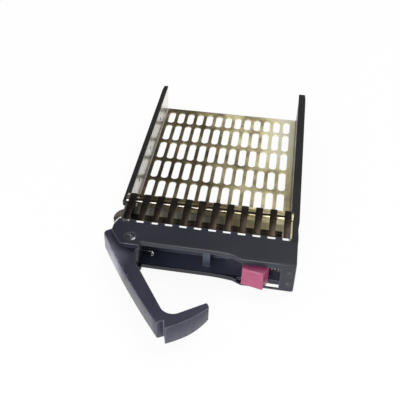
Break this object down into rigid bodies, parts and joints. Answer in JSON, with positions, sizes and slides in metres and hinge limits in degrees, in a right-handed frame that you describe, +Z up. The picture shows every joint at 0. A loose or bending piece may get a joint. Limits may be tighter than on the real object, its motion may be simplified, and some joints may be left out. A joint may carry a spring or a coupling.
{
  "type": "hot swap drive caddy",
  "caption": "Folded sheet tray with guide rails for a 2.5-inch drive, with a moulded bezel, a swinging ejector lever, a sliding release button and contact fingers",
  "frame": {"origin": "on the tray's underside, on the drive's centre plane, in line with the front pair of drive screws", "axes": "+X right seen from the front, +Y to the rear (connector end), +Z up"},
  "size_m": [0.0814, 0.1655, 0.0175],
  "materials": {
    "plated_steel": "plated sheet steel, satin",
    "finger_steel": "thin plated spring steel",
    "spring_steel": "bright drawn wire and strip",
    "pin_steel": "turned steel",
    "bezel_plastic": "dark grey moulded plastic, fine texture",
    "lever_plastic": "dark grey moulded plastic, fine texture",
    "rail_plastic": "black moulded plastic",
    "button_plastic": "maroon moulded plastic",
    "clear_plastic": "clear moulded light pipe"
  },
  "bodies": {
    "carrier": {"tray": "plated_steel", "bezel": "bezel_plastic", "lever_pin": "pin_steel", "pin_retainer": "spring_steel", "lever_spring": "spring_steel", "button_spring": "spring_steel", "button_retainer": "spring_steel", "top_emi_strip": "finger_steel", "bottom_emi_strip": "finger_steel", "left_emi_spring": "finger_steel", "right_emi_spring": "finger_steel", "left_guide_rail": "rail_plastic", "right_guide_rail": "rail_plastic", "upper_light_pipe": "clear_plastic", "lower_light_pipe": "clear_plastic", "left_rail_rivets": "pin_steel", "right_rail_rivets": "pin_steel", "left_bezel_rivets": "pin_steel", "right_bezel_rivets": "pin_steel"},
    "lever": {"ejector_lever": "lever_plastic"},
    "button": {"release_button": "button_plastic"}
  },
  "joints": [
    {"name": "lever_swing", "type": "hinge", "parent": "carrier", "child": "lever", "pos_m": [-0.02935, -0.0337, 0.009], "axis": [0, 0, 1], "range_deg": [0, 54.5], "stiffness_Nm_per_rad": 0.02, "springref_deg": -34.38, "deforming": ["lever_spring"]},
    {"name": "button_slide", "type": "slide", "parent": "carrier", "child": "button", "axis": [1, 0, 0], "range_m": [0, 0.003], "stiffness_N_per_m": 400, "springref_m": -0.002, "deforming": ["button_spring"]}
  ]
}
